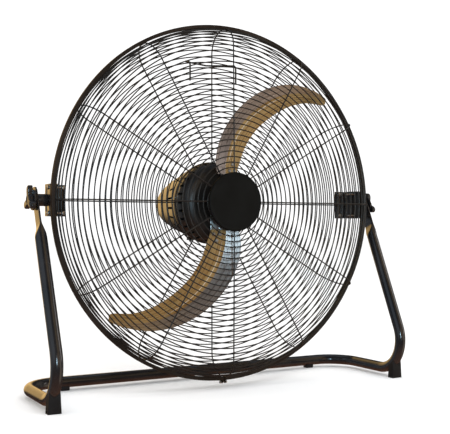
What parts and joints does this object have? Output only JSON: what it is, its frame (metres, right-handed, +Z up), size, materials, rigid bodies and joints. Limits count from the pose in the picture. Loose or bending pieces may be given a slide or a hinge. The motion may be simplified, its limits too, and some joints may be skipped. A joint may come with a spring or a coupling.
{
  "type": "high-velocity floor fan",
  "caption": "Tilting floor fan: sickle-shaped metal blades in a round wire guard with a rear motor, on a bent-tube stand with side pivots and hand knobs.",
  "frame": {"origin": "centre of the bounding box on the floor plane", "axes": "+X viewer's right, -Y front (air outlet), +Z up"},
  "size_m": [0.8942, 0.4234, 0.8303],
  "materials": {
    "tube_paint": "gloss",
    "rim_paint": "gloss",
    "wire_paint": "satin",
    "blade_metal": "satin",
    "badge_plastic": "matte",
    "motor_paint": "satin",
    "knob_plastic": "gloss",
    "foot_rubber": "matte",
    "plated_steel": "satin",
    "core_steel": "matte",
    "copper_wire": "gloss",
    "part_plastic": "matte"
  },
  "bodies": {
    "stand": {"stand_tube": "tube_paint", "left_leg_tab": "tube_paint", "right_leg_tab": "tube_paint", "left_front_foot": "foot_rubber", "right_front_foot": "foot_rubber", "rear_foot_pads": "foot_rubber"},
    "impeller": {"upper_blade": "blade_metal", "lower_blade": "blade_metal", "hub_spider": "plated_steel", "blade_rivets": "plated_steel", "rotor_shaft": "plated_steel", "rotor_core": "core_steel", "hub_nut": "plated_steel"},
    "left_knob": {"left_pivot_knob": "knob_plastic", "left_pivot_washer": "plated_steel"},
    "right_knob": {"right_pivot_knob": "knob_plastic", "right_pivot_washer": "plated_steel"},
    "speed_dial": {"speed_knob": "knob_plastic", "speed_knob_shaft": "plated_steel"},
    "head": {"badge_backplate": "badge_plastic", "badge_screws": "plated_steel", "cable_gland": "foot_rubber", "capacitor": "part_plastic", "capacitor_clip": "plated_steel", "carry_handle": "wire_paint", "front_badge": "badge_plastic", "front_bearing": "plated_steel", "front_edge_ring": "wire_paint", "front_face_rings": "wire_paint", "front_guard_spokes": "wire_paint", "front_side_rings": "wire_paint", "guard_clamp_ring": "motor_paint", "guard_rim": "rim_paint", "left_inner_clamp_plate": "motor_paint", "left_pivot_boss": "knob_plastic", "left_pivot_saddle": "tube_paint", "left_pivot_stud": "plated_steel", "motor_front_bell": "motor_paint", "motor_mount_plate": "motor_paint", "motor_plate_bolts": "plated_steel", "motor_rear_cover": "motor_paint", "rear_bearing": "plated_steel", "rear_edge_ring": "wire_paint", "rear_face_rings": "wire_paint", "rear_guard_spokes": "wire_paint", "rear_side_rings": "wire_paint", "right_inner_clamp_plate": "motor_paint", "right_pivot_boss": "knob_plastic", "right_pivot_saddle": "tube_paint", "right_pivot_stud": "plated_steel", "rim_clamp_nut": "plated_steel", "rim_clamp_screw": "plated_steel", "saddle_screws": "plated_steel", "speed_switch": "part_plastic", "stator_bolts": "plated_steel", "stator_core": "core_steel", "stator_spacers": "plated_steel", "stator_windings": "copper_wire"}
  },
  "joints": [
    {"name": "head_tilt", "type": "hinge", "parent": "stand", "child": "head", "pos_m": [0, -0.05626, 0.4233], "axis": [-1, 0, 0], "range_deg": [-10, 90]},
    {"name": "fan_spin", "type": "hinge", "parent": "head", "child": "impeller", "pos_m": [0, -0.08826, 0.4233], "axis": [0, 1, 0], "continuous": true},
    {"name": "left_knob_turn", "type": "hinge", "parent": "head", "child": "left_knob", "pos_m": [-0.44, -0.05626, 0.4233], "axis": [-1, 0, 0], "range_deg": [0, 360]},
    {"name": "right_knob_turn", "type": "hinge", "parent": "head", "child": "right_knob", "pos_m": [0.44, -0.05626, 0.4233], "axis": [1, 0, 0], "range_deg": [0, 360]},
    {"name": "speed_dial_turn", "type": "hinge", "parent": "head", "child": "speed_dial", "pos_m": [0, 0.20174, 0.4233], "axis": [0, 1, 0], "range_deg": [0, 135]}
  ]
}
